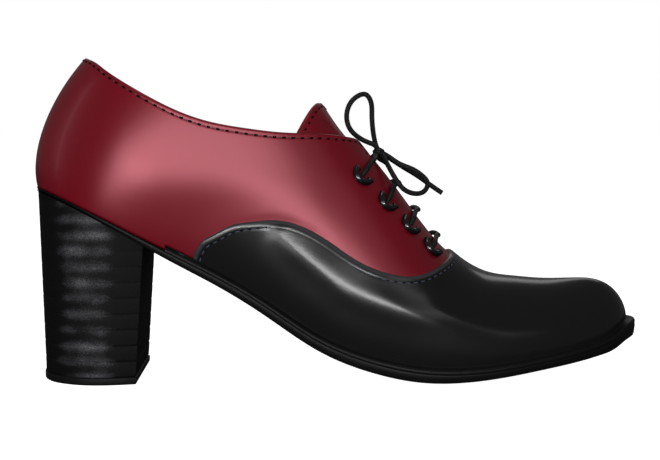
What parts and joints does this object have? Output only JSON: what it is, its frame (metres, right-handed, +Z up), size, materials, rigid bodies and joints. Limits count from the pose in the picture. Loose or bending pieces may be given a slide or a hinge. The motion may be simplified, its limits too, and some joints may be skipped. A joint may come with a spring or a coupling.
{
  "type": "block heel shoe",
  "caption": "Low-cut lace-up shoe for the right foot with patent quarters, a smooth leather vamp and a high straight block heel.",
  "frame": {"origin": "centre of the heel top piece's face on the floor", "axes": "+X to the toe, +Y to the inner side of the foot, +Z up"},
  "size_m": [0.2505, 0.0832, 0.1308],
  "materials": {
    "red_patent": "deep red patent, glossy",
    "black_leather": "smooth black leather, soft sheen",
    "red_tongue": "deep red leather",
    "tan_insole": "plain light lining leather, matt",
    "black_sole": "black, satin edge",
    "black_welt": "black, polished edge",
    "stacked_heel": "stacked, black with a fine grain",
    "top_piece": "matt black",
    "black_eyelet": "gloss black",
    "black_lace": "waxed round cord"
  },
  "bodies": {
    "root": {"upper": "red_patent", "vamp": "black_leather", "tongue": "red_tongue", "insole": "tan_insole", "outsole": "black_sole", "welt": "black_welt", "heel": "stacked_heel", "heel_top_piece": "top_piece", "eyelet_outer_1": "black_eyelet", "eyelet_outer_2": "black_eyelet", "eyelet_outer_3": "black_eyelet", "eyelet_outer_4": "black_eyelet", "eyelet_inner_1": "black_eyelet", "eyelet_inner_2": "black_eyelet", "eyelet_inner_3": "black_eyelet", "eyelet_inner_4": "black_eyelet", "lace_bar_1_outer": "black_lace", "lace_bar_1_inner": "black_lace", "lace_bar_2": "black_lace", "lace_bar_3": "black_lace", "lace_bar_4": "black_lace", "lace_knot": "black_lace", "lace_loop_up": "black_lace", "lace_loop_front": "black_lace", "lace_end_long": "black_lace", "lace_end_short": "black_lace"}
  },
  "joints": []
}
